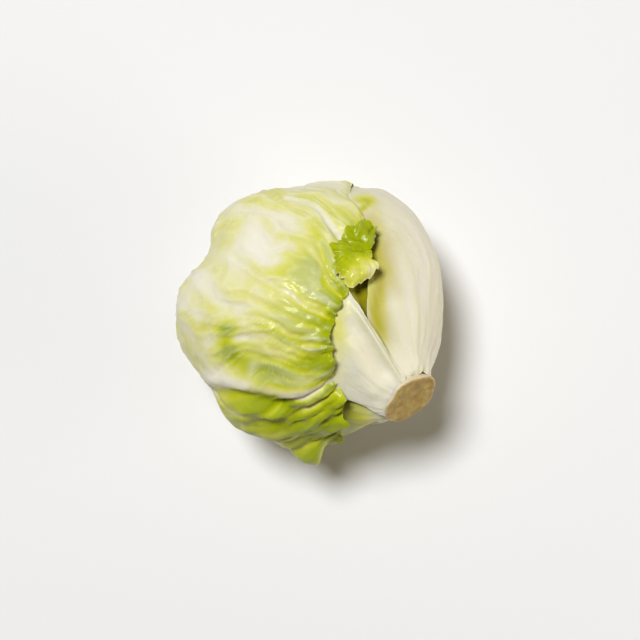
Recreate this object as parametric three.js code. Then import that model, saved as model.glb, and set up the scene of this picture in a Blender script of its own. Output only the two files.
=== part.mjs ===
// Iceberg lettuce: one cut head lying on its side, built leaf by leaf around a solid heart.
// Millimetres, +Z up. The origin is on the resting face, straight below the middle of the head.
// The cut stem points towards +X -Y and a little up.

import * as THREE from "three";
import { mergeVertices } from "three/addons/utils/BufferGeometryUtils.js";

// ---- Sizes ----------------------------------------------------------------------------------
const HEAD_RADIUS = 73; // middle of the head to the outermost leaf, level with the middle
const POLE_LOSS = 5.5; // how much shorter that is straight up and straight down
const MIDDLE_HEIGHT = 63.5; // middle of the head above the surface it rests on
const LEAF_THICKNESS = 1.6; // blade of a leaf
const RIB_THICKNESS = 3; // what the rib adds where a leaf runs into the stem
const RIB_SPREAD = 18; // degrees from the stem over which the rib thins out
const LEAF_GAP = 1.6; // clear space between one leaf and the next
const CORNER_TURN = 0.1; // radians either side of a bearing that count towards a leaf's edge there
const INNER_SLACK = 2.4; // how much looser the inner leaves sit below the outer ones
const OVERLAP_MARGIN = 4; // degrees beyond an outer leaf's edge where the leaf below is still pressed in
const OVERLAP_RAMP = 20; // degrees beyond an outer leaf's edge where the leaf below is back to full size
const HEART_GAP = 3.6; // clear space between the innermost leaves and the heart

const STEM_AXIS = direction(-41.5, 28); // from the middle of the head to the middle of the cut
const STEM_CUT_NORMAL = direction(-48, 33); // the knife went through slightly askew
const STEM_CUT_DISTANCE = 81; // middle of the head to the cut
const STEM_CUT_RADIUS = 16.6;
const STEM_ROOT_DISTANCE = 47; // how deep the stem reaches into the head
const STEM_ROOT_RADIUS = 8.6;
const NECK_ANGLE = 14.5; // degrees off the stem axis where leaves end

// Swellings (+) and hollows (-) of the whole head: azimuth, elevation, width, height, depth in mm
const SWELLINGS = [
  [48, 0, 34, 45, 5.2],
  [98, 0, 20, 40, -2.6],
  [122, 0, 16, 40, 1.4],
  [151, 4, 12, 42, -7.5],
  [178, -4, 22, 40, 3.8],
  [211, 2, 12, 36, -3.6],
  [240, -4, 20, 34, 2.6],
  [291, 0, 14, 30, -1.6],
];
const NECK_SWELLING = 5.5; // the leaves stand out around the stem
const NECK_SPREAD = 24;

// ---- Directions from the middle of the head --------------------------------------------------
function direction(azimuth, elevation) {
  const a = THREE.MathUtils.degToRad(azimuth);
  const e = THREE.MathUtils.degToRad(elevation);
  return new THREE.Vector3(Math.cos(e) * Math.cos(a), Math.cos(e) * Math.sin(a), Math.sin(e));
}

// Point of the upper half that lies over plan position x, y
function above(x, y) {
  const share = Math.min(Math.hypot(x, y) / (HEAD_RADIUS + 2), 0.999);
  return direction(THREE.MathUtils.radToDeg(Math.atan2(y, x)), THREE.MathUtils.radToDeg(Math.acos(share)));
}

// Two directions square to an axis, the first one leaning towards `towards`
function squareTo(axis, towards) {
  const first = towards.clone().addScaledVector(axis, -towards.dot(axis)).normalize();
  return [first, axis.clone().cross(first)];
}

const UPWARDS = new THREE.Vector3(0, 0, 1);
const [STEM_UP, STEM_LEFT] = squareTo(STEM_AXIS, UPWARDS);

// Point on the neck: roll 0 is the upper side of the stem, 90 the -X -Y side, 180 underneath
function neck(roll) {
  const r = THREE.MathUtils.degToRad(roll);
  const w = THREE.MathUtils.degToRad(NECK_ANGLE + 0.3);
  return STEM_AXIS.clone()
    .multiplyScalar(Math.cos(w))
    .addScaledVector(STEM_UP, Math.sin(w) * Math.cos(r))
    .addScaledVector(STEM_LEFT, Math.sin(w) * Math.sin(r));
}

function degreesBetween(a, b) {
  return THREE.MathUtils.radToDeg(a.angleTo(b));
}

function bell(distance, spread) {
  return Math.exp(-((distance / spread) ** 2));
}

// ---- Shape of the whole head -----------------------------------------------------------------
function headRadius(d) {
  const azimuth = THREE.MathUtils.radToDeg(Math.atan2(d.y, d.x));
  const elevation = THREE.MathUtils.radToDeg(Math.asin(THREE.MathUtils.clamp(d.z, -1, 1)));
  let radius = HEAD_RADIUS - POLE_LOSS * d.z * d.z;
  for (const [atAzimuth, atElevation, width, height, amount] of SWELLINGS) {
    const turn = ((azimuth - atAzimuth + 540) % 360) - 180;
    radius += amount * bell(turn, width) * bell(elevation - atElevation, height);
  }
  return radius + NECK_SWELLING * bell(degreesBetween(d, STEM_AXIS), NECK_SPREAD);
}

function leafThickness(d) {
  const fromNeck = Math.max(0, degreesBetween(d, STEM_AXIS) - NECK_ANGLE);
  return LEAF_THICKNESS + RIB_THICKNESS * bell(fromNeck, RIB_SPREAD);
}

// ---- Leaves, outermost first -----------------------------------------------------------------
// A leaf covers the directions inside a closed outline of hand-placed points around its middle.
const LEAVES = [
  {
    name: "folded_tip",
    liesOnTop: true,
    colour: "#a9b93a",
    segments: 10,
    middle: above(25, 33),
    outline: [
      above(17, 42), above(24, 45), above(32, 43.5), above(33, 35), above(32.5, 28),
      above(33.5, 22), above(28, 16), above(22.5, 13), above(17, 17), above(11.5, 22),
      above(12.5, 29), above(10, 35), above(14.5, 36),
    ],
  },
  {
    name: "under_leaf",
    colour: "#dcdcae",
    segments: 17,
    middle: direction(-28, -32),
    outline: [
      neck(-112), direction(-24, -6), direction(0, -12), direction(22, -18), direction(40, -34),
      direction(30, -54), direction(-5, -63), direction(-45, -62), direction(-76, -50),
      direction(-84, -32), direction(-68, -14), neck(105), neck(140), neck(180), neck(-140),
    ],
  },
  {
    name: "hood_leaf",
    colour: "#d3d98a",
    segments: 24,
    middle: direction(196, -38),
    lobe: [direction(-96, 3), 7, 11],
    outline: [
      direction(22, -44), direction(50, -34), direction(66, -14), direction(72, 6), above(22, 65),
      above(28, 52), above(28, 38), above(24.5, 24), above(20.5, 11), above(15, 0), above(12.5, -11),
      above(12, -24), above(14, -38), above(17, -47), above(18, -58), above(18, -68),
      direction(-79, 1), direction(-85, -8), direction(-86, -22), direction(-66, -34),
      direction(-38, -42), direction(-8, -46),
    ],
  },
  {
    name: "rib_leaf",
    colour: "#ebe7c6",
    segments: 14,
    middle: above(4, -14),
    outline: [
      neck(-20), above(40.5, -22.5), above(32.5, -8), above(25.5, 5), above(20, 16),
      above(6, 33), above(-14, 44), above(-36, 40), above(-52, 22), above(-56, -6), above(-44, -32),
      above(-20, -47), above(4, -51), above(17, -51.5), above(26, -51.5), neck(72),
      neck(40), neck(10),
    ],
  },
  {
    name: "side_leaf",
    colour: "#e8e2ca",
    segments: 18,
    middle: direction(28, 4),
    outline: [
      neck(-25), above(45, -25), above(37, -10), above(34, 2), above(33.5, 14), above(35, 28),
      above(36, 40), above(30, 49), above(16, 55), above(-2, 62), direction(96, 8), direction(92, -22),
      direction(72, -48), direction(30, -60), direction(-10, -50), direction(-32, -26), neck(-140),
      neck(-105), neck(-65),
    ],
  },
  {
    name: "lower_leaf",
    colour: "#c9c27c",
    segments: 14,
    middle: direction(-92, 2),
    outline: [
      neck(68), above(34, -48), above(16, -40), above(-4, -40), above(-30, -48),
      direction(-132, 24), direction(-144, 2), direction(-138, -26), direction(-112, -48),
      direction(-80, -48), direction(-58, -34), neck(155), neck(125), neck(95),
    ],
  },
  {
    name: "inner_leaf_a",
    isInner: true,
    colour: "#c4c04a",
    segments: 14,
    middle: above(22, 22),
    outline: [
      neck(-15), above(60, -10), direction(6, 30), direction(30, 8), direction(60, 2), direction(90, 6),
      direction(118, 24), above(-30, 40), above(-36, 14), above(-20, -12), above(6, -30), above(28, -34),
      neck(35), neck(10),
    ],
  },
  {
    name: "inner_leaf_b",
    isInner: true,
    colour: "#d8d68c",
    segments: 16,
    middle: direction(-150, 16),
    outline: [
      neck(60), above(20, -44), above(6, -14), above(-4, 16), direction(110, 42), direction(140, 12),
      direction(160, -24), direction(-170, -58), direction(-120, -60), direction(-80, -38), neck(120),
      neck(90),
    ],
  },
  {
    name: "inner_leaf_c",
    isInner: true,
    colour: "#e2deaa",
    segments: 14,
    middle: direction(70, -42),
    outline: [
      neck(-80), direction(0, 8), direction(30, 16), direction(70, 14), direction(112, 10),
      direction(140, -16), direction(175, -50), direction(-120, -64), direction(-70, -50), neck(165),
      neck(-160), neck(-120),
    ],
  },
];

// Bearing and angular distance of direction d, seen from the middle of a leaf
function bearingOf(leaf, d) {
  return [Math.atan2(d.dot(leaf.across), d.dot(leaf.along)), leaf.middle.angleTo(d)];
}

for (const leaf of LEAVES) {
  [leaf.along, leaf.across] = squareTo(leaf.middle, UPWARDS);
  leaf.reach = leaf.outline.map((point) => bearingOf(leaf, point)).sort((p, q) => p[0] - q[0]);
}

// Angular distance from a leaf's middle to its edge, as a smooth closed curve through the outline
function reachAt(leaf, anyBearing) {
  const bearing = anyBearing - 2 * Math.PI * Math.round(anyBearing / (2 * Math.PI));
  const points = leaf.reach;
  const count = points.length;
  const point = (i) => {
    const turns = Math.floor(i / count);
    const [b, g] = points[i - turns * count];
    return [b + turns * 2 * Math.PI, g];
  };
  let i = points.filter((p) => p[0] <= bearing).length - 1;
  const [b0, g0] = point(i - 1);
  const [b1, g1] = point(i);
  const [b2, g2] = point(i + 1);
  const [b3, g3] = point(i + 2);
  const span = b2 - b1;
  const u = (bearing - b1) / span;
  const slope1 = (span * (g2 - g0)) / (b2 - b0);
  const slope2 = (span * (g3 - g1)) / (b3 - b1);
  return (
    (2 * u ** 3 - 3 * u ** 2 + 1) * g1 +
    (u ** 3 - 2 * u ** 2 + u) * slope1 +
    (3 * u ** 2 - 2 * u ** 3) * g2 +
    (u ** 3 - u ** 2) * slope2
  );
}

// 1 under a leaf, falling smoothly to 0 a little way outside its edge
function coverage(leaf, d) {
  const [bearing, distance] = bearingOf(leaf, d);
  const nearby = [-CORNER_TURN, 0, CORNER_TURN].map((turn) => reachAt(leaf, bearing + turn));
  const outside = THREE.MathUtils.radToDeg(distance - Math.max(...nearby));
  return 1 - THREE.MathUtils.smoothstep(outside, OVERLAP_MARGIN, OVERLAP_RAMP);
}

// How far below the surface of the head the outer face of the leaf at place `order` lies
function depthAt(order, d) {
  const isInner = order === LEAVES.length || LEAVES[order].isInner;
  let depth = isInner ? INNER_SLACK : 0;
  for (const leaf of LEAVES.slice(0, order).filter((outer) => !outer.liesOnTop)) {
    depth += (leafThickness(d) + LEAF_GAP) * coverage(leaf, d);
  }
  return depth;
}

// Keeps a direction off the neck, so that no leaf runs into the stem
function clearOfStem(d) {
  const angle = degreesBetween(d, STEM_AXIS);
  const edge = NECK_ANGLE + 1.5;
  if (angle > edge) {
    return d;
  }
  const wanted = THREE.MathUtils.degToRad(NECK_ANGLE + 1.5 * (angle / edge));
  const outward = d.clone().addScaledVector(STEM_AXIS, -d.dot(STEM_AXIS)).normalize();
  return STEM_AXIS.clone().multiplyScalar(Math.cos(wanted)).addScaledVector(outward, Math.sin(wanted));
}

// Place of the point at a given depth along d, pressed flat where the head rests
function place(d, radius, depth) {
  const point = d.clone().multiplyScalar(radius - depth);
  point.z = Math.max(point.z + MIDDLE_HEIGHT, depth);
  return point;
}

function lobeHeight(leaf, d) {
  if (!leaf.lobe) {
    return 0;
  }
  const [at, spread, height] = leaf.lobe;
  return height * bell(degreesBetween(d, at), spread);
}

function leafGeometry(order) {
  const leaf = LEAVES[order];
  const box = new THREE.BoxGeometry(2, 2, 1, leaf.segments, leaf.segments, 1);
  const position = box.attributes.position;
  for (let i = 0; i < position.count; i += 1) {
    const u = position.getX(i);
    const v = position.getY(i);
    const x = u * Math.sqrt(1 - (v * v) / 2);
    const y = v * Math.sqrt(1 - (u * u) / 2);
    const bearing = Math.atan2(y, x);
    const distance = Math.min(1, Math.hypot(x, y)) * reachAt(leaf, bearing);
    const d = leaf.middle
      .clone()
      .multiplyScalar(Math.cos(distance))
      .addScaledVector(leaf.along, Math.sin(distance) * Math.cos(bearing))
      .addScaledVector(leaf.across, Math.sin(distance) * Math.sin(bearing));
    const kept = clearOfStem(d);
    const inner = position.getZ(i) < 0;
    let depth = depthAt(order, kept) + (inner ? leafThickness(kept) : 0);
    if (leaf.liesOnTop) {
      depth -= LEAF_THICKNESS + LEAF_GAP;
    }
    const point = place(kept, headRadius(kept) + lobeHeight(leaf, kept), depth);
    position.setXYZ(i, point.x, point.y, point.z);
  }
  box.deleteAttribute("normal");
  box.deleteAttribute("uv");
  const geometry = mergeVertices(box, 1e-4);
  geometry.computeVertexNormals();
  return geometry;
}

// ---- Heart and stem --------------------------------------------------------------------------
function heartGeometry() {
  const ball = new THREE.SphereGeometry(1, 28, 18);
  ball.deleteAttribute("normal");
  ball.deleteAttribute("uv");
  const geometry = mergeVertices(ball, 1e-6);
  const position = geometry.attributes.position;
  const d = new THREE.Vector3();
  for (let i = 0; i < position.count; i += 1) {
    d.fromBufferAttribute(position, i).normalize();
    const towardsStem = bell(degreesBetween(d, STEM_AXIS), 34);
    const depth = depthAt(LEAVES.length, d) + HEART_GAP;
    const radius = Math.min(headRadius(d) - depth, 62) * (1 - towardsStem) + 41 * towardsStem;
    position.setXYZ(i, d.x * radius, d.y * radius, Math.max(d.z * radius + MIDDLE_HEIGHT, depth));
  }
  geometry.computeVertexNormals();
  return geometry;
}

function stemGeometry() {
  const height = STEM_CUT_DISTANCE - STEM_ROOT_DISTANCE;
  const cone = new THREE.CylinderGeometry(STEM_CUT_RADIUS, STEM_ROOT_RADIUS, height, 30, 4);
  cone.translate(0, height / 2 + STEM_ROOT_DISTANCE, 0);
  cone.applyQuaternion(new THREE.Quaternion().setFromUnitVectors(new THREE.Vector3(0, 1, 0), STEM_AXIS));
  cone.deleteAttribute("normal");
  cone.deleteAttribute("uv");
  const geometry = mergeVertices(cone, 1e-4);
  const position = geometry.attributes.position;
  const point = new THREE.Vector3();
  for (let i = 0; i < position.count; i += 1) {
    point.fromBufferAttribute(position, i);
    const along = point.dot(STEM_AXIS);
    const share = (along - STEM_ROOT_DISTANCE) / height;
    const level = STEM_CUT_DISTANCE * STEM_AXIS.dot(STEM_CUT_NORMAL);
    const askew = (level - point.dot(STEM_CUT_NORMAL)) / STEM_AXIS.dot(STEM_CUT_NORMAL);
    if (share > 0.99) {
      point.addScaledVector(STEM_AXIS, askew);
    }
    position.setXYZ(i, point.x, point.y, point.z + MIDDLE_HEIGHT);
  }
  geometry.computeVertexNormals();
  return geometry;
}

// ---- The head --------------------------------------------------------------------------------
function piece(name, geometry, colour, roughness) {
  const material = new THREE.MeshStandardMaterial({ color: colour, roughness, metalness: 0 });
  const mesh = new THREE.Mesh(geometry, material);
  mesh.name = name;
  return mesh;
}

const lettuce = new THREE.Group();
lettuce.name = "iceberg_lettuce";
lettuce.add(piece("stem", stemGeometry(), "#b79c5a", 0.75));
lettuce.add(piece("heart", heartGeometry(), "#e6e2b4", 0.6));
LEAVES.forEach((leaf, order) => {
  lettuce.add(piece(leaf.name, leafGeometry(order), leaf.colour, 0.5));
});

export default lettuce;
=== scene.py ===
"""Iceberg lettuce: the looks. Metres, +Z up, origin on the resting face below the middle of the head.

Each leaf is a sheet that covers part of the head. A sheet is first laid over the shape of the
whole head, then pressed down where other leaves lie on it, then given its folds, veins and frills.
All working sizes are millimetres until the points are written to the mesh.
"""

import math

import bmesh
import bpy
import numpy as np
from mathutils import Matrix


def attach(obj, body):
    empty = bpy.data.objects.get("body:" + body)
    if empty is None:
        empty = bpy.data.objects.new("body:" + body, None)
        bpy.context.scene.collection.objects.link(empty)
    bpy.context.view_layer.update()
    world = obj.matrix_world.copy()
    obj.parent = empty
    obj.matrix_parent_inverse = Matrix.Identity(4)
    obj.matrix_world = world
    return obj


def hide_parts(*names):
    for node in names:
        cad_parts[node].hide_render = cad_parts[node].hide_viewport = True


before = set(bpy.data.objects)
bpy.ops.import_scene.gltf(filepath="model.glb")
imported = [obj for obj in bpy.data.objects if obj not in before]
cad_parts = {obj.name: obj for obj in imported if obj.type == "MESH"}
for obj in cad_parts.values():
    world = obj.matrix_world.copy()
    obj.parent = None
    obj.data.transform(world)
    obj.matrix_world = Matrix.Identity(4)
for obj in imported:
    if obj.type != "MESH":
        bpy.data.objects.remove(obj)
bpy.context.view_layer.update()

# ---- Sizes, as in the solid model -----------------------------------------------------------
HEAD_RADIUS = 73.0
POLE_LOSS = 5.5
MIDDLE_HEIGHT = 63.5
RIB_THICKNESS = 3.0
RIB_SPREAD = 18.0
OVERLAP_MARGIN = 2.0
OVERLAP_RAMP = 15.0
NECK_ANGLE = 14.5
NECK_SWELLING = 5.5
NECK_SPREAD = 24.0
NECK_RISE = 4.0  # how far the leaves stand up along the stem
STEM_CUT_DISTANCE = 80.8
RIM_STEP = 0.7  # how far the rim of the cut stands out past the leaves
STEM_CUT_RADIUS = 16.6
STEM_ROOT_DISTANCE = 48.0

LEAF_STACK = 2.1  # one leaf and the air under it
BLADE = 1.5  # thickness of a leaf away from its edge
EDGE_SHARE = 0.3  # share of that thickness left at the edge
EDGE_WIDTH = 9.0  # over how much of the leaf it thins out
CROWDING = 1.35  # how much closer the points of a sheet lie near its edge
TOOTH_MM_PER_DEGREE = 1.3
TIP_CLEARANCE = 3.4  # how high the folded tip lies above the outer leaf
COLLAR_ROOM = 3.2  # how much lower the inner leaves end around the stem
HEART_CLEARANCE = 13.0  # between the heart and the innermost leaves
HEART_NEAR_STEM = 41.0  # radius of the heart under the stem

# Swellings and hollows of the whole head: azimuth, elevation, width, height, depth in mm
SWELLINGS = [
    (48, 0, 34, 45, 5.2),
    (98, 0, 20, 40, -2.6),
    (122, 0, 16, 40, 1.4),
    (151, 4, 12, 42, -7.5),
    (178, -4, 22, 40, 3.8),
    (211, 2, 12, 36, -3.6),
    (240, -4, 20, 34, 2.6),
    (291, 0, 14, 30, -1.6),
]


# ---- Small mathematics ----------------------------------------------------------------------
def unit(v):
    return v / np.linalg.norm(v, axis=-1, keepdims=True)


def direction(azimuth, elevation):
    a, e = math.radians(azimuth), math.radians(elevation)
    return np.array([math.cos(e) * math.cos(a), math.cos(e) * math.sin(a), math.sin(e)])


def above(x, y):
    """Direction of the point of the upper half that lies over plan position x, y."""
    share = min(math.hypot(x, y) / (HEAD_RADIUS + 2), 0.999)
    return direction(math.degrees(math.atan2(y, x)), math.degrees(math.acos(share)))


def square_to(axis, towards):
    first = unit(towards - (towards @ axis) * axis)
    return first, np.cross(axis, first)


def degrees_between(d, axis):
    return np.degrees(np.arccos(np.clip(d @ axis, -1, 1)))


def bell(distance, spread):
    return np.exp(-((distance / spread) ** 2))


def smooth(x, start, end):
    t = np.clip((x - start) / (end - start), 0, 1)
    return t * t * (3 - 2 * t)


UPWARDS = np.array([0.0, 0.0, 1.0])
STEM_AXIS = direction(-41.5, 28)
STEM_CUT_NORMAL = direction(-48, 33)
STEM_UP, STEM_LEFT = square_to(STEM_AXIS, UPWARDS)


def neck(roll):
    """Point on the neck: roll 0 is the upper side of the stem, 90 the -X -Y side."""
    r, w = math.radians(roll), math.radians(NECK_ANGLE - 3.2)
    return math.cos(w) * STEM_AXIS + math.sin(w) * (math.cos(r) * STEM_UP + math.sin(r) * STEM_LEFT)


def lattice_noise(points, size, seed):
    """Smooth noise from -1 to 1 over points in millimetres, with features of the given size."""
    cell = np.floor(points / size).astype(np.int64)
    part = points / size - cell
    part = part * part * (3 - 2 * part)
    total = np.zeros(len(points))
    for corner in range(8):
        step = np.array([corner & 1, (corner >> 1) & 1, corner >> 2])
        key = (cell + step) @ np.array([73856093, 19349663, 83492791]) + seed * 2654435761
        key = (key ^ (key >> 13)) * 1274126177 & 0x7FFFFFFF
        value = ((key ^ (key >> 16)) & 0xFFFF) / 32767.5 - 1
        weight = np.prod(np.where(step == 1, part, 1 - part), axis=1)
        total += value * weight
    return total


def along_noise(s, size, seed):
    """The same noise along one length s."""
    return lattice_noise(np.stack([s, s * 0 + seed * 7.3, s * 0], axis=-1), size, seed)


def stroke(xy, path, width):
    """1 on a path drawn in plan, falling to 0 beside it and tapering at its ends."""
    path = np.array(path, float)
    lengths = np.linalg.norm(np.diff(path, axis=0), axis=1)
    starts = np.concatenate([[0], np.cumsum(lengths)])
    best = np.full(len(xy), 1e9)
    place = np.zeros(len(xy))
    for i, (a, b) in enumerate(zip(path[:-1], path[1:])):
        t = np.clip(((xy - a) @ (b - a)) / lengths[i] ** 2, 0, 1)
        gap = np.linalg.norm(xy - a - t[:, None] * (b - a), axis=1)
        nearer = gap < best
        best = np.where(nearer, gap, best)
        place = np.where(nearer, (starts[i] + t * lengths[i]) / starts[-1], place)
    taper = smooth(place, -0.05, 0.2) * (1 - smooth(place, 0.8, 1.05))
    return bell(best, width) * taper


def spot(xy, x, y, along, across, turn=0.0):
    """1 at a place in plan, fading over an ellipse whose long axis is turned by `turn` degrees."""
    c, s = math.cos(math.radians(turn)), math.sin(math.radians(turn))
    dx, dy = xy[:, 0] - x, xy[:, 1] - y
    return np.exp(-(((c * dx + s * dy) / along) ** 2) - ((c * dy - s * dx) / across) ** 2)


# ---- Shape of the whole head ----------------------------------------------------------------
def head_radius(d):
    azimuth = np.degrees(np.arctan2(d[:, 1], d[:, 0]))
    elevation = np.degrees(np.arcsin(np.clip(d[:, 2], -1, 1)))
    radius = HEAD_RADIUS - POLE_LOSS * d[:, 2] ** 2
    for at_azimuth, at_elevation, width, height, amount in SWELLINGS:
        turn = (azimuth - at_azimuth + 540) % 360 - 180
        radius = radius + amount * bell(turn, width) * bell(elevation - at_elevation, height)
    return radius + NECK_SWELLING * bell(degrees_between(d, STEM_AXIS), NECK_SPREAD)


class Leaf:
    """A leaf covers the directions inside a closed outline of given points."""

    def __init__(self, name, segments, middle, outline):
        self.name = name
        self.segments = segments
        self.middle = middle
        self.along, self.across = square_to(middle, UPWARDS)
        points = sorted((*self.bearing_of(p[None]),) for p in outline)
        self.bearings = np.array([p[0][0] for p in points])
        self.distances = np.array([p[1][0] for p in points])
        # Length of the edge in millimetres up to each bearing, for frills that follow the edge
        self.turns = np.linspace(-np.pi, np.pi, 2001)
        edge = HEAD_RADIUS * self.at(self.turns, self.reach_at(self.turns))
        steps = np.linalg.norm(np.diff(edge, axis=0), axis=1)
        self.edge_length = np.concatenate([[0], np.cumsum(steps)])

    def bearing_of(self, d):
        bearing = np.arctan2(d @ self.across, d @ self.along)
        return bearing, np.arccos(np.clip(d @ self.middle, -1, 1))

    def at(self, bearing, distance):
        b, g = bearing[:, None], distance[:, None]
        sideways = np.cos(b) * self.along + np.sin(b) * self.across
        return np.cos(g) * self.middle + np.sin(g) * sideways

    def reach_at(self, bearing):
        """Angle from the middle to the edge, a smooth closed curve through the outline."""
        count = len(self.bearings)
        wrapped = bearing - 2 * np.pi * np.round(bearing / (2 * np.pi))
        around = [self.bearings - 4 * np.pi, self.bearings - 2 * np.pi, self.bearings]
        b = np.concatenate(around + [self.bearings + 2 * np.pi, self.bearings + 4 * np.pi])
        g = np.tile(self.distances, 5)
        i = np.clip(np.searchsorted(b, wrapped, side="right") - 1, 1, 5 * count - 3)
        span = b[i + 1] - b[i]
        u = (wrapped - b[i]) / span
        slope1 = span * (g[i + 1] - g[i - 1]) / (b[i + 1] - b[i - 1])
        slope2 = span * (g[i + 2] - g[i]) / (b[i + 2] - b[i])
        blend = 3 * u**2 - 2 * u**3
        reach = (1 - blend) * g[i] + blend * g[i + 1]
        return reach + (u**3 - 2 * u**2 + u) * slope1 + (u**3 - u**2) * slope2

    def coverage(self, d):
        """1 under this leaf, falling smoothly to 0 a little way outside its edge."""
        bearing, distance = self.bearing_of(d)
        outside = np.degrees(distance - self.reach_at(bearing))
        return 1 - smooth(outside, OVERLAP_MARGIN, OVERLAP_RAMP)

    def length_at(self, bearing):
        return np.interp(bearing, self.turns, self.edge_length)


LEAVES = [
    Leaf("folded_tip", 110, above(25, 33), [
        above(17, 42), above(24, 45), above(32, 43.5), above(33, 35), above(32.5, 28), above(33.5, 22),
        above(28, 16), above(22.5, 13), above(17, 17), above(11.5, 22), above(12.5, 29), above(10, 35),
        above(14.5, 36),
    ]),
    Leaf("under_leaf", 96, direction(-28, -32), [
        neck(-112), direction(-24, -6), direction(0, -12), direction(22, -18), direction(40, -34),
        direction(30, -54), direction(-5, -63), direction(-45, -62), direction(-76, -50),
        direction(-84, -38), direction(-66, -28), neck(128), neck(150), neck(180), neck(-140),
    ]),
    Leaf("hood_leaf", 216, direction(196, -38), [
        direction(22, -44), direction(50, -34), direction(66, -14), direction(72, 6), above(22, 65),
        above(28, 52), above(28, 38), above(24.5, 24), above(20.5, 11), above(15, 0), above(12.5, -11),
        above(12, -24), above(14, -38), above(17, -47), above(18, -58), above(18, -68),
        direction(-79, 1), direction(-85, -8), direction(-86, -22), direction(-66, -34),
        direction(-38, -42), direction(-8, -46),
    ]),
    Leaf("rib_leaf", 150, above(4, -14), [
        neck(-20), above(41.5, -22), above(33.5, -7.5), above(26.5, 5), above(20, 16),
        above(6, 33), above(-14, 44), above(-36, 40), above(-52, 22), above(-56, -6), above(-44, -32),
        above(-20, -47), above(4, -51), above(17, -51.5), above(28, -51), above(36, -52.5), neck(72),
        neck(40), neck(10),
    ]),
    Leaf("side_leaf", 190, direction(28, 4), [
        neck(-12), above(43, -24), above(36, -10), above(34, 2), above(33.5, 14), above(35, 28),
        above(36, 40), above(30, 49), above(16, 55), above(-2, 62), direction(96, 8), direction(92, -22),
        direction(72, -48), direction(30, -60), direction(-10, -50), direction(-32, -26), neck(-140),
        neck(-105), neck(-65),
    ]),
    Leaf("lower_leaf", 130, direction(-92, 2), [
        neck(68), above(34, -48), above(16, -40), above(-4, -40), above(-30, -48),
        direction(-132, 24), direction(-144, 2), direction(-138, -26), direction(-112, -48),
        direction(-80, -48), direction(-58, -34), neck(155), neck(125), neck(95),
    ]),
    Leaf("inner_leaf_a", 110, above(22, 22), [
        neck(-15), above(60, -10), direction(6, 30), direction(30, 8), direction(60, 2), direction(90, 6),
        direction(118, 24), above(-30, 40), above(-36, 14), above(-20, -12), above(6, -30), above(28, -34),
        neck(35), neck(10),
    ]),
    Leaf("inner_leaf_b", 40, direction(-150, 16), [
        neck(60), above(20, -44), above(6, -14), above(-4, 16), direction(110, 42), direction(140, 12),
        direction(160, -24), direction(-170, -58), direction(-120, -60), direction(-80, -38), neck(120),
        neck(90),
    ]),
    Leaf("inner_leaf_c", 40, direction(70, -42), [
        neck(-80), direction(0, 8), direction(30, 16), direction(70, 14), direction(112, 10),
        direction(140, -16), direction(175, -50), direction(-120, -64), direction(-70, -50), neck(165),
        neck(-160), neck(-120),
    ]),
]
ORDER = {leaf.name: i for i, leaf in enumerate(LEAVES)}


def rib_swelling(d):
    from_neck = np.maximum(0, degrees_between(d, STEM_AXIS) - NECK_ANGLE)
    return RIB_THICKNESS * bell(from_neck, RIB_SPREAD)


def neck_rise(d):
    """The leaves stand up along the stem until they are level with the rim of the cut."""
    return NECK_RISE * bell(np.maximum(0, degrees_between(d, STEM_AXIS) - 11.3), 5.5)


def covered(order, d):
    """How much of each direction lies under an outer leaf, and how deep that leaves this one."""
    shown = np.ones(len(d))
    depth = np.zeros(len(d))
    away = 0.2 + 0.8 * smooth(degrees_between(d, STEM_AXIS), 11.5, 30)
    for leaf in LEAVES[:order]:
        share = leaf.coverage(d)
        if leaf.name != "folded_tip":
            depth += (LEAF_STACK + rib_swelling(d)) * share * away
            shown *= 1 - share
    return 1 - shown, depth


# ---- Folds, veins and colour of each leaf ---------------------------------------------------
# Where the outer leaf's veins gather, and the lobe that hangs out of its edge
HOOD_FOCUS = above(42, -15)
LOBE_AZIMUTH = -88
LOBE_RISE = 12

CREST = [(-61, -33), (-38, -39), (-14, -43), (8, -42)]
CREST_VALLEY = [(-56, -40), (-42, -43), (-26, -47.5), (-12, -51.5), (-4, -55)]
LOW_VALLEY = [(-36, -58), (-26, -60.5), (-12, -61), (-2, -60)]
SIDE_VALLEY = [(32, 56), (33.5, 40), (37, 20), (37, 0), (39, -14), (43, -26)]
# Path of the painted shade along the side leaf's valley, where little light reaches
SIDE_PAINTED_SHADE = [(27, 62), (32, 50), (37, 34), (38, 16), (36, 2), (40, -12), (44, -26)]
GAP_LINE = [(31, 24), (28, 12), (30, 2), (34, -10)]
RIB_CREST = [(18.5, 9), (22, 2), (30, -10.5), (38, -23), (47.5, -38)]


def streaks(d, focus, ahead_of, seed):
    """Noise drawn out along lines that run from a focus: broad, middle and fine, each -1 to 1."""
    ahead, aside = square_to(focus, ahead_of)
    turn = np.degrees(np.arctan2(d @ aside, d @ ahead))
    run = np.radians(degrees_between(d, focus)) * HEAD_RADIUS
    points = d * HEAD_RADIUS
    turn = turn + 9 * lattice_noise(points, 36, seed) + 3 * lattice_noise(points, 12, seed + 1)
    fields = []
    for place, (across, along) in enumerate([(10, 48), (4.6, 30), (2.1, 15)]):
        sample = np.stack([turn / across, run / along, 0 * run], axis=-1)
        fields.append(lattice_noise(sample, 1.0, seed + 2 + place))
    return fields


def crest(field, sharpness=3):
    """Thin ridges along the zero lines of a noise field."""
    return (1 - np.minimum(np.abs(field) * 1.6, 1)) ** sharpness


def frill(leaf, bearing, inward, strength):
    """Ruffles that grow towards the edge: how far each point is lifted."""
    s = leaf.length_at(bearing)
    big = along_noise(s, 13, 5) * bell(inward, 13)
    middle = along_noise(s, 5.2, 6) * bell(inward, 6.5)
    small = along_noise(s, 2.3, 7) * bell(inward, 3)
    rise = 3.4 * big + 3.2 * middle + 1.5 * small
    return strength * (rise + 0.9 * bell(inward, 8))


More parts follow.
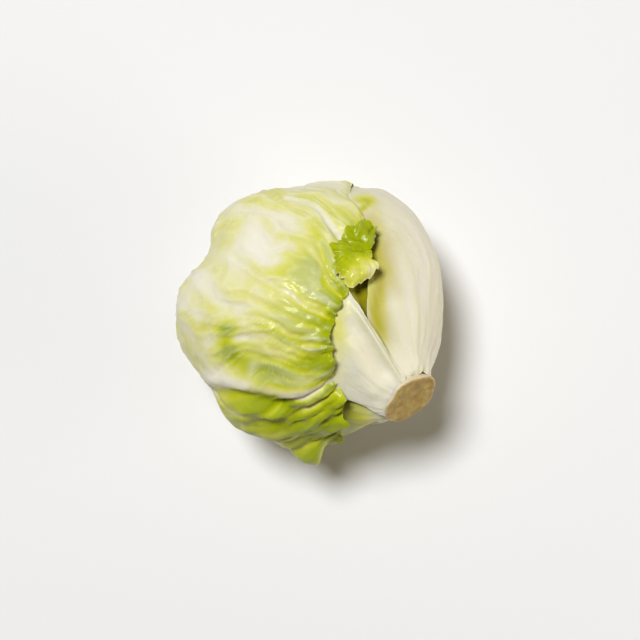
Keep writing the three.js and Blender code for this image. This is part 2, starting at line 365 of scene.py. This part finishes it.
def shape_folded_tip(leaf, d, points, xy, bearing, inward, under):
    along_edge = leaf.length_at(bearing)
    lift = 1.0 + 2.0 * spot(xy, 25, 21, 9, 7) + 2.6 * along_noise(along_edge, 4.5, 3) * bell(inward, 5)
    lift += 1.2 * along_noise(along_edge, 1.9, 4) * bell(inward, 2.5)
    lift += 1.5 * lattice_noise(points, 6, 41) + 2.0 * stroke(xy, [(34, 22), (22, 15), (14, 21)], 3)
    lift += 0.8 * lattice_noise(points, 2.6, 43)
    lift -= 1.8 * stroke(xy, [(33, 38), (27, 31), (17, 31)], 2.0)
    lift -= 4.5 * smooth(xy[:, 0], 30, 36)
    # Painted light and shade: the folded upper part is painted darker green as shade, the lower face paler
    # as lit
    tone = 0.72 + 0.55 * spot(xy, 26, 37, 9, 8) - 0.36 * spot(xy, 27, 20, 8, 5.5, 30)
    tone += 0.22 * spot(xy, 13, 30, 5, 5) + 0.16 * lattice_noise(points, 4, 42)
    white = 0.7 * bell(inward, 0.7) * smooth(20 - xy[:, 1], -8, 4)
    return lift, tone, white


def shape_hood_leaf(leaf, d, points, xy, bearing, inward, under):
    top = smooth(d[:, 2], -0.15, 0.15)
    broad, mid, fine = streaks(d, HOOD_FOCUS, -STEM_AXIS, 11)
    from_focus = degrees_between(d, HOOD_FOCUS)
    calm = smooth(from_focus, 24, 62)
    busy = 1 - 0.7 * calm
    lift = 1.5 * lattice_noise(points, 24, 21) + 0.9 * lattice_noise(points, 11, 22)
    lift += 1.3 * broad + 0.9 * calm * crest(mid, 3) + 0.3 * calm * crest(fine, 2)
    lift += busy * (1.0 * mid + 0.9 * fine + 0.7 * lattice_noise(points, 4.5, 24))
    lift += 0.8 * top * smooth(-xy[:, 1], 40, 52) * (fine + mid)
    lift += busy * 0.45 * lattice_noise(points, 2.2, 25)
    lift += top * 3.2 * stroke(xy, CREST, 5.5)
    lift += top * 1.8 * stroke(xy, [(-44, -52), (-26, -54.5), (-8, -57)], 3)
    loose = 1 - under
    flat_edge = 1 - 0.85 * (1 - smooth(degrees_between(d, CALM_EDGE), 18, 38))
    lift += loose * flat_edge * frill(leaf, bearing, inward, 1.0)
    lift -= 0.9 * loose * (d[:, 2] > 0.2) * bell(inward, 2.2)
    lift -= 1.1 * loose * smooth(xy[:, 1], 28, 48) * (d[:, 2] > 0) * bell(inward, 4)
    lobe = lobe_share(d) * loose
    lift += LOBE_RISE * lobe + 2.0 * lobe * mid
    near = smooth(80 - from_focus, 0, 46)
    tone = 0.29 + 0.34 * near + 0.10 * lattice_noise(points, 16, 23)
    tone += 0.22 * bell(inward, 8) * loose * flat_edge
    tone += (0.16 + 0.18 * near) * mid + (0.06 + 0.2 * near) * fine + 0.08 * broad
    tone += 0.2 * spot(xy, -40, -28, 26, 9, -18)
    tone += top * (0.7 * spot(xy, -44, -9, 5, 4) + 0.6 * spot(xy, -43, -20, 7, 4.5, -60))
    tone += 0.5 * spot(xy, 2, -26, 15, 3.2, 8) + 0.22 * spot(xy, -32, -26, 16, 5, -25)
    tone += 0.2 * spot(xy, 4, -6, 16, 8, -25) + 0.3 * spot(xy, 12, -16, 4, 18)
    tone += 0.25 * spot(xy, 4, -60, 16, 9) - 0.2 * spot(xy, -2, -34, 12, 3, 5)
    # Painted shade: the two hollows are painted a darker green, and dark keeps the white veins out of them
    tone += top * (0.45 * stroke(xy, CREST_VALLEY, 4.5) + 0.35 * stroke(xy, LOW_VALLEY, 4.5))
    tone += 0.22 * top * smooth(-xy[:, 1], 43, 52) * fine
    low = top * smooth(-xy[:, 1], 43, 52)
    dark = top * np.maximum(stroke(xy, CREST_VALLEY, 5), stroke(xy, LOW_VALLEY, 5))
    # The crest is painted paler: partly the fold's own paler colour, partly painted highlight where it
    # faces the lamp
    tone += 0.26 * low - 0.32 * top * stroke(xy, CREST, 5) * (1 - smooth(xy[:, 0], -2, 14))
    tone += 0.3 * lobe
    tone -= 0.16 * spot(xy, -25, 36, 26, 16, 20)
    tone = np.where(d[:, 2] < -0.1, np.minimum(tone, 0.5), tone)
    white = calm * (0.6 * crest(mid, 4) + 0.6 * crest(fine, 4)) * (0.8 + 0.6 * broad)
    white += 0.75 * busy * np.clip(1.8 * fine + 1.2 * mid - 0.25, 0, 1)
    # White line along the crest: partly a pale vein, partly a painted highlight
    white += 0.5 * top * stroke(xy, CREST, 2.2)
    white *= (1 - 0.8 * low) * (1 - dark)
    white *= 1 - 0.7 * smooth(xy[:, 0], -8, 10) * smooth(-xy[:, 1], 34, 42)
    return lift, tone, np.clip(white, 0, 1) * (1 - 0.75 * bell(inward, 7) * loose)


def shape_rib_leaf(leaf, d, points, xy, bearing, inward, under):
    _, mid, fine = streaks(d, STEM_AXIS, UPWARDS, 31)
    lift = 0.3 * lattice_noise(points, 20, 32) + 0.25 * mid + 0.1 * fine
    lift += 2.8 * stroke(xy, RIB_CREST, 1.5) + 2.2 * stroke(xy, [(18, -14), (24, -30), (36, -46)], 8)
    lift -= 1.8 * stroke(xy, [(18, -2), (26, -15), (41, -37)], 3.4)
    tone = 0.12 + 0.25 * smooth(24 - xy[:, 0], 0, 10) - 0.12 * smooth(-xy[:, 1], 20, 46)
    tone += 0.16 * stroke(xy, RIB_CREST, 2.2) + 0.05 * mid
    # The white spot low on the rib leaf is partly its pale base, partly a painted highlight where the lamp
    # lights it
    white = 0.3 * crest(mid, 2) + 1.2 * stroke(xy, RIB_CREST, 1.5) + 1.3 * spot(xy, 30, -42, 20, 9, -38)
    return lift, tone, white


def lobe_share(d):
    """The lobe hangs out furthest at its -Y +X end and drops sharply beyond it."""
    beyond = np.degrees(np.arctan2(d[:, 1], d[:, 0])) - LOBE_AZIMUTH
    spread = np.where(beyond < 0, 12.0, 2.6)
    return bell(beyond, spread) * bell(np.degrees(np.arcsin(np.clip(d[:, 2], -1, 1))) - 2, 9)


def hollows(order, xy, d):
    """Depth of the long hollows, which press the leaf they lie on and all leaves under it."""
    depth = 0.0 * d[:, 2]
    if order >= ORDER["hood_leaf"]:
        depth += 3.0 * stroke(xy, CREST_VALLEY, 4.6) + 2.6 * stroke(xy, LOW_VALLEY, 3.8)
    if order >= ORDER["side_leaf"]:
        depth += 4.6 * stroke(xy, SIDE_VALLEY, 7.5)
    return depth * smooth(d[:, 2], -0.05, 0.2)


def shape_side_leaf(leaf, d, points, xy, bearing, inward, under):
    broad, mid, fine = streaks(d, STEM_AXIS, UPWARDS, 51)
    lift = 1.0 * lattice_noise(points, 34, 52) + 0.5 * lattice_noise(points, 14, 53)
    lift += 0.6 * broad + 0.45 * mid + 0.16 * fine
    loose = 1 - under
    lift += 0.35 * loose * frill(leaf, bearing, inward, 1.0)
    tone = 0.08 + 0.10 * smooth(xy[:, 1], 20, 62) + 0.05 * lattice_noise(points, 18, 54)
    # Painted shade: the side leaf's valley is painted greener where little light reaches
    tone += 0.42 * stroke(xy, SIDE_VALLEY, 5) + 0.2 * bell(inward, 3) * loose + 0.10 * mid
    tone += 0.5 * spot(xy, 28, 61, 6, 2.2, -20) + 0.6 * spot(xy, 28.5, 57, 3, 1.5, 30)
    white = 0.3 * crest(mid, 2) + 0.15 * crest(fine, 2)
    return lift, tone, white


def shape_lower_leaf(leaf, d, points, xy, bearing, inward, under):
    _, mid, _ = streaks(d, STEM_AXIS, -UPWARDS, 61)
    lift = 0.8 * lattice_noise(points, 24, 62) + 0.6 * mid
    # Greener to the left: partly the leaf's green blade, partly painted shade under the outer leaf's frill
    tone = 0.25 + 0.72 * smooth(38 - xy[:, 0], 0, 24) * smooth(d[:, 2], -0.1, 0.1) + 0.1 * mid
    return lift, tone, 0.4 * crest(mid, 2)


def shape_under_leaf(leaf, d, points, xy, bearing, inward, under):
    broad, mid, fine = streaks(d, STEM_AXIS, UPWARDS, 71)
    lift = 0.8 * lattice_noise(points, 26, 72) + 0.6 * broad + 0.7 * mid + 0.3 * fine
    lift += frill(leaf, bearing, inward, 0.6) * smooth(degrees_between(d, STEM_AXIS), 34, 60)
    lift -= 1.6 * bell(inward, 5) * (1 - smooth(degrees_between(d, STEM_AXIS), 34, 60))
    tone = 0.2 + 0.1 * lattice_noise(points, 20, 73) + 0.12 * mid
    tone = tone - 0.3 * bell(degrees_between(d, STEM_AXIS), 22)
    return lift, tone, 0.5 * crest(mid, 2) + 0.3 * crest(fine, 2)


def shape_inner_leaf(leaf, d, points, xy, bearing, inward, under):
    _, mid, fine = streaks(d, STEM_AXIS, UPWARDS, 81)
    in_gap = smooth(d[:, 2], 0.1, 0.3)
    lift = 0.5 * lattice_noise(points, 16, 82) + 0.7 * mid + 0.5 * fine
    lift -= in_gap * 0.8 * stroke(xy, GAP_LINE, 6.5)
    # Painted shade: the part seen in the gap is painted a deeper green
    tone = 0.25 + 0.62 * in_gap + 0.15 * mid + 0.1 * lattice_noise(points, 8, 83)
    return lift, tone, 0.3 * crest(mid, 2)


def shade(order, xy, d):
    """Painted olive shade where little light reaches: 0 to 1."""
    name = LEAVES[order].name
    # Painted shade: the side leaf's valley, the lower leaf's left end and the inner leaves where they show
    # in the gap
    if name == "side_leaf":
        painted_shade = 0.8 * stroke(xy, SIDE_PAINTED_SHADE, 5.5)
        painted_shade = painted_shade + 0.3 * stroke(xy, [(42, 46), (44, 24), (45, 4)], 6)
    elif name == "lower_leaf":
        painted_shade = 0.5 * smooth(34 - xy[:, 0], 0, 16)
    elif name.startswith("inner"):
        painted_shade = 0.0 * xy[:, 0] + 0.9
    else:
        painted_shade = 0.0 * xy[:, 0]
    return painted_shade * smooth(d[:, 2], 0.0, 0.2)


# How toothed each leaf's free edge is
# Where the edge of the outer leaf lies flat, without teeth
CALM_EDGE = direction(70, 18)
# Angles from the stem between which an edge goes from calm to toothed
CALM_NEAR_STEM = {"under_leaf": (34, 60)}
RAGGED = {"rib_leaf": 0.1, "side_leaf": 0.35, "lower_leaf": 0.3, "folded_tip": 0.9}

SHAPES = {
    "folded_tip": shape_folded_tip,
    "hood_leaf": shape_hood_leaf,
    "rib_leaf": shape_rib_leaf,
    "side_leaf": shape_side_leaf,
    "lower_leaf": shape_lower_leaf,
    "under_leaf": shape_under_leaf,
}


# ---- Building the pieces --------------------------------------------------------------------
def below_cut(points):
    """Ends what stands along the stem just below the plane of the cut."""
    slant = STEM_AXIS @ STEM_CUT_NORMAL
    over = np.maximum(0, points @ STEM_CUT_NORMAL - STEM_CUT_DISTANCE * slant + RIM_STEP)
    return points - STEM_AXIS * (over / slant)[:, None]


def settle(points, depth):
    """Moves the middle of the head to its height and flattens what would sink into the surface."""
    points[:, 2] = np.maximum(points[:, 2] + MIDDLE_HEIGHT, depth)
    return points


def write_piece(name, bm, points, attributes):
    mesh = bpy.data.meshes.new(name)
    bm.to_mesh(mesh)
    bm.free()
    mesh.vertices.foreach_set("co", (points / 1000).astype(np.float32).ravel())
    for label, values in attributes.items():
        layer = mesh.attributes.new(label, "FLOAT", "POINT")
        layer.data.foreach_set("value", np.clip(values, 0, 1.5).astype(np.float32))
    mesh.polygons.foreach_set("use_smooth", [True] * len(mesh.polygons))
    mesh.update()
    piece = bpy.data.objects.new(name, mesh)
    bpy.context.scene.collection.objects.link(piece)
    return piece


def round_sheet(segments):
    """A square grid drawn into a disc: the mesh, and the bearing and share of the radius of its points."""
    bm = bmesh.new()
    bmesh.ops.create_grid(bm, x_segments=segments, y_segments=segments, size=1)
    flat = np.array([v.co[:2] for v in bm.verts])
    x = flat[:, 0] * np.sqrt(1 - flat[:, 1] ** 2 / 2)
    y = flat[:, 1] * np.sqrt(1 - flat[:, 0] ** 2 / 2)
    return bm, np.arctan2(y, x), np.hypot(x, y)


def free_edge(leaf, order, bearing):
    """Angle from the middle of the leaf to its edge, with teeth where the edge is in sight."""
    reach = leaf.reach_at(bearing)
    length = leaf.length_at(bearing)
    teeth = 1.5 * along_noise(length, 1.9, 1) + 1.6 * along_noise(length, 6, 2)
    edge_point = leaf.at(bearing, reach)
    hidden, _ = covered(order, edge_point)
    calm, toothed = CALM_NEAR_STEM.get(leaf.name, (16, 30))
    ragged = (1 - hidden) * smooth(degrees_between(edge_point, STEM_AXIS), calm, toothed)
    if leaf.name == "hood_leaf":
        ragged = ragged * (0.1 + 0.9 * smooth(degrees_between(edge_point, CALM_EDGE), 14, 32))
    return reach + np.radians(teeth / TOOTH_MM_PER_DEGREE) * ragged * RAGGED.get(leaf.name, 1.0)


def leaf_piece(order):
    leaf = LEAVES[order]
    bm, bearing, from_middle = round_sheet(leaf.segments)
    # The rows of points lie closer together towards the edge
    share = 1 - (1 - np.clip(from_middle, 0, 1)) ** CROWDING
    edge = free_edge(leaf, order, bearing)
    d = leaf.at(bearing, share * edge)
    inward = (1 - share) * edge * HEAD_RADIUS
    under, depth = covered(order, d)
    radius = head_radius(d) + neck_rise(d)
    points = d * radius[:, None]
    xy = points[:, :2]
    shaper = SHAPES.get(leaf.name, shape_inner_leaf)
    lift, tone, white = shaper(leaf, d, points, xy, bearing, inward, under)
    # Under other leaves there is room for hollows but hardly any for folds
    room = np.where(lift < 0, 1, 1 - 0.85 * under)
    depth = depth - lift * room + hollows(order, xy, d)
    if leaf.name == "folded_tip":
        depth = depth - TIP_CLEARANCE
    if leaf.name.startswith("inner"):
        depth = depth + COLLAR_ROOM * (1 - smooth(degrees_between(d, STEM_AXIS), 13, 32))
    points = settle(below_cut(d * (radius - depth)[:, None]), np.maximum(depth, 0))
    values = {"tone": tone, "white": white, "shade": shade(order, xy, d)}
    piece = write_piece(leaf.name + "_sheet", bm, points, values)
    blade = piece.vertex_groups.new(name="blade")
    thickness = EDGE_SHARE + (1 - EDGE_SHARE) * smooth(inward, 0, EDGE_WIDTH)
    for index, value in enumerate(thickness):
        blade.add([index], float(value), "REPLACE")
    shell = piece.modifiers.new("thickness", "SOLIDIFY")
    shell.thickness = BLADE / 1000
    shell.offset = -1
    shell.vertex_group = "blade"
    return piece


def stem_piece():
    bm, bearing, share = round_sheet(90)
    # The inner part of the disc is the cut, the outer part folds down to the side of the stem
    face = np.minimum(share / 0.72, 1)
    down = smooth(share, 0.70, 1.0)
    ridges = 1 + 0.035 * along_noise(bearing * 20, 7, 8) + 0.02 * np.cos(bearing * 5 + 1)
    radius = face * STEM_CUT_RADIUS * ridges * (1 - 0.42 * down)
    out = STEM_UP[None] * np.cos(bearing)[:, None] + STEM_LEFT[None] * np.sin(bearing)[:, None]
    points = STEM_AXIS[None] * STEM_CUT_DISTANCE + out * radius[:, None]
    askew = ((STEM_AXIS * STEM_CUT_DISTANCE) @ STEM_CUT_NORMAL - points @ STEM_CUT_NORMAL)
    points = points + STEM_AXIS[None] * (askew / (STEM_AXIS @ STEM_CUT_NORMAL))[:, None]
    dish = 0.9 * bell(share, 0.5) + 0.5 * lattice_noise(points, 5, 91) + 0.25 * lattice_noise(points, 2, 92)
    sink = dish * (1 - down) + down * (STEM_CUT_DISTANCE - STEM_ROOT_DISTANCE) * 0.55
    sink = sink + 0.7 * bell(share - 0.74, 0.06)
    points = points - STEM_AXIS[None] * sink[:, None]
    rim = smooth(share, 0.64, 0.76)
    return write_piece("stem_cut_face", bm, settle(points, np.zeros(len(points))), {"rim": rim})


def heart_piece():
    bm = bmesh.new()
    bmesh.ops.create_uvsphere(bm, u_segments=48, v_segments=32, radius=1)
    d = unit(np.array([v.co[:] for v in bm.verts]))
    _, depth = covered(len(LEAVES), d)
    towards_stem = bell(degrees_between(d, STEM_AXIS), 34)
    under_leaves = head_radius(d) - depth - HEART_CLEARANCE
    radius = under_leaves * (1 - towards_stem) + HEART_NEAR_STEM * towards_stem
    plain = 0 * radius
    values = {"tone": plain + 0.6, "white": plain, "shade": plain}
    return write_piece("heart_ball", bm, settle(d * radius[:, None], depth), values)


# ---- Materials ------------------------------------------------------------------------------
LEAF_DARKNESS = 0.83


def colour(red, green, blue):
    """A colour given in 0 to 255 screen values, as the shaders' linear values."""
    linear = [((c / 255 + 0.055) / 1.055) ** 2.4 if c > 10 else c / 255 / 12.92 for c in (red, green, blue)]
    return (*linear, 1.0)


def leaf_colour(red, green, blue):
    """A leaf colour, darker than its screen value because the lamps are strong."""
    return (*(LEAF_DARKNESS * c for c in colour(red, green, blue)[:3]), 1.0)


class Wire:
    """An output socket with arithmetic, so that shader sums read as sums."""

    def __init__(self, shader, socket):
        self.shader = shader
        self.socket = socket

    def sum(self, operation, other, flipped=False):
        pair = (other, self) if flipped else (self, other)
        return self.shader.node("ShaderNodeMath", {"operation": operation}, {0: pair[0], 1: pair[1]})

    def __add__(self, other):
        return self.sum("ADD", other)

    def __radd__(self, other):
        return self.sum("ADD", other, True)

    def __sub__(self, other):
        return self.sum("SUBTRACT", other)

    def __rsub__(self, other):
        return self.sum("SUBTRACT", other, True)

    def __mul__(self, other):
        return self.sum("MULTIPLY", other)

    def __rmul__(self, other):
        return self.sum("MULTIPLY", other, True)


class Shader:
    def __init__(self, name):
        self.material = bpy.data.materials.new(name)
        self.material.use_nodes = True
        self.tree = self.material.node_tree
        self.tree.nodes.clear()

    def node(self, kind, settings=None, sockets=None, output=0):
        made = self.tree.nodes.new(kind)
        for key, value in (settings or {}).items():
            setattr(made, key, value)
        for key, value in (sockets or {}).items():
            if isinstance(value, Wire):
                self.tree.links.new(value.socket, made.inputs[key])
            else:
                made.inputs[key].default_value = value
        return Wire(self, made.outputs[output]) if len(made.outputs) else None

    def attribute(self, name):
        return self.node("ShaderNodeAttribute", {"attribute_name": name}, output="Fac")

    def place(self):
        return self.node("ShaderNodeTexCoord", output="Object")

    def noise(self, size, detail=3.0, roughness=0.55):
        """Noise with features of `size` metres."""
        sockets = {"Vector": self.place(), "Scale": 1 / size, "Detail": detail, "Roughness": roughness}
        return self.node("ShaderNodeTexNoise", None, sockets)

    def cells(self, size):
        sockets = {"Vector": self.place(), "Scale": 1 / size}
        return self.node("ShaderNodeTexVoronoi", {"feature": "SMOOTH_F1"}, sockets)

    def ramp(self, factor, stops):
        wire = self.node("ShaderNodeValToRGB", None, {"Fac": factor})
        elements = wire.socket.node.color_ramp.elements
        while len(elements) < len(stops):
            elements.new(0.5)
        for element, (position, value) in zip(elements, stops):
            element.position = position
            element.color = value
        return wire

    def mix(self, factor, first, second):
        settings = {"data_type": "RGBA", "clamp_factor": True}
        return self.node("ShaderNodeMix", settings, {0: factor, 6: first, 7: second}, output=2)

    def bump(self, height, distance, strength=1.0):
        sockets = {"Height": height, "Distance": distance, "Strength": strength}
        return self.node("ShaderNodeBump", None, sockets)

    def surface(self, sockets):
        made = self.node("ShaderNodeBsdfPrincipled", None, sockets)
        self.node("ShaderNodeOutputMaterial", None, {"Surface": made})
        return self.material


TONES = [
    (0.00, leaf_colour(250, 244, 226)),
    (0.20, leaf_colour(242, 237, 204)),
    (0.40, leaf_colour(230, 227, 122)),
    (0.60, leaf_colour(210, 213, 46)),
    (0.80, leaf_colour(184, 194, 12)),
    (1.00, leaf_colour(164, 178, 8)),
]


def leaf_material(name, wetness, blister, mottle, painted_shade):
    s = Shader(name)
    patches = s.noise(0.009, 4)
    grain = s.noise(0.0016, 3)
    tone = s.attribute("tone") + (patches - 0.5) * mottle
    base = s.ramp(tone, TONES)
    white = s.attribute("white") * (0.55 + patches * 0.6)
    base = s.mix(white * 0.8, base, leaf_colour(250, 247, 218))
    # Painted shade: mixes in the olive shade colour where the shade attribute says little light reaches
    base = s.mix(s.attribute("shade") * 0.75, base, painted_shade)
    height = s.cells(0.0042) * blister + grain * 0.22 + s.noise(0.0045, 2) * 0.5
    gloss = s.ramp(s.noise(0.012, 3), [(0.35, (0.30, 0.30, 0.30, 1)), (0.65, (0.48, 0.48, 0.48, 1))])
    return s.surface({
        "Base Color": base,
        "Roughness": gloss,
        "Normal": s.bump(height, 0.00055),
        "Subsurface Weight": 0.25,
        "Subsurface Radius": (1.0, 0.9, 0.35),
        "Subsurface Scale": 0.004,
        "Coat Weight": wetness,
        "Specular IOR Level": 0.27,
        "Coat Roughness": 0.16,
        "IOR": 1.36,
    })


def stem_material():
    s = Shader("dry cut stem")
    blotch = s.noise(0.006, 4)
    fibre = s.noise(0.0012, 3)
    base = s.ramp(blotch, [
        (0.30, colour(150, 118, 48)),
        (0.50, colour(172, 142, 68)),
        (0.72, colour(192, 170, 104)),
    ])
    base = s.mix(s.attribute("rim"), base, colour(222, 210, 176))
    return s.surface({
        "Base Color": base,
        "Roughness": 0.62,
        "Normal": s.bump(blotch * 0.6 + fibre * 0.4, 0.0009),
        "Subsurface Weight": 0.1,
        "Subsurface Scale": 0.002,
    })


def floor_material():
    s = Shader("pale floor")
    return s.surface({"Base Color": colour(229, 229, 230), "Roughness": 0.9})


# ---- The head -------------------------------------------------------------------------------
# The last colour given to each leaf material is its painted shade colour
green_leaf = leaf_material("green leaf", 0.13, 0.5, 0.26, leaf_colour(170, 160, 26))
pale_leaf = leaf_material("pale leaf", 0.07, 0.1, 0.16, leaf_colour(184, 168, 70))
inner_leaf = leaf_material("inner leaf", 0.1, 0.3, 0.34, leaf_colour(168, 154, 24))
stem_cut = stem_material()

MATERIALS = {
    "folded_tip": ("green_leaf", green_leaf),
    "hood_leaf": ("green_leaf", green_leaf),
    "rib_leaf": ("pale_leaf", pale_leaf),
    "side_leaf": ("pale_leaf", pale_leaf),
    "lower_leaf": ("pale_leaf", pale_leaf),
    "under_leaf": ("pale_leaf", pale_leaf),
    "inner_leaf_a": ("inner_leaf", inner_leaf),
    "inner_leaf_b": ("inner_leaf", inner_leaf),
    "inner_leaf_c": ("inner_leaf", inner_leaf),
    "heart": ("inner_leaf", inner_leaf),
    "stem": ("stem_cut", stem_cut),
}


def dress(piece, node):
    slot, material = MATERIALS[node]
    piece.data.materials.append(material)
    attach(piece, "root")
    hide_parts(node)


for place_in_order, each in enumerate(LEAVES):
    dress(leaf_piece(place_in_order), each.name)
dress(stem_piece(), "stem")
dress(heart_piece(), "heart")

# ---- Floor, light and camera ----------------------------------------------------------------
CAMERA_OFFSET = (0.0045, -0.0045)
CAMERA_DISTANCE = 0.846
LENS_MM = 85
SENSOR_MM = 36
# Lamps: direction, distance, size, power, colour
KEY = (direction(130, 69), 3.5, 1.02, 136, (0.98, 0.985, 1.0))
CARD = (direction(-12, 7), 1.1, 0.8, 6.2, (1.0, 0.92, 0.78))
ROOM_LIGHT = (1.0, 0.80, 0.46, 1)
ROOM_STRENGTH = 0.066
FLOOR_SIZE = 3


def add_floor():
    bm = bmesh.new()
    bmesh.ops.create_grid(bm, x_segments=1, y_segments=1, size=FLOOR_SIZE)
    mesh = bpy.data.meshes.new("floor")
    bm.to_mesh(mesh)
    bm.free()
    floor = bpy.data.objects.new("floor", mesh)
    bpy.context.scene.collection.objects.link(floor)
    mesh.materials.append(floor_material())


def add_light(name, towards, distance, size, power, tint):
    light = bpy.data.lights.new(name, "AREA")
    light.shape = "DISK"
    light.size = size
    light.energy = power
    light.color = tint
    lamp = bpy.data.objects.new(name, light)
    middle = np.array([0, 0, MIDDLE_HEIGHT / 1000])
    lamp.location = middle + towards * distance
    # A lamp shines along its own -Z
    lamp.rotation_euler = (math.acos(towards[2]), 0, math.atan2(towards[1], towards[0]) + math.pi / 2)
    bpy.context.scene.collection.objects.link(lamp)


def add_world():
    world = bpy.data.worlds.new("studio")
    world.use_nodes = True
    background = world.node_tree.nodes["Background"]
    background.inputs["Color"].default_value = ROOM_LIGHT
    background.inputs["Strength"].default_value = ROOM_STRENGTH
    bpy.context.scene.world = world


def add_camera():
    lens = bpy.data.cameras.new("camera")
    lens.lens = LENS_MM
    lens.sensor_width = SENSOR_MM
    camera = bpy.data.objects.new("camera", lens)
    camera.location = (*CAMERA_OFFSET, MIDDLE_HEIGHT / 1000 + CAMERA_DISTANCE)
    bpy.context.scene.collection.objects.link(camera)
    bpy.context.scene.camera = camera


add_floor()
add_light("key", *KEY)
add_light("card", *CARD)
add_world()
add_camera()
bpy.context.scene.view_settings.view_transform = "Standard"
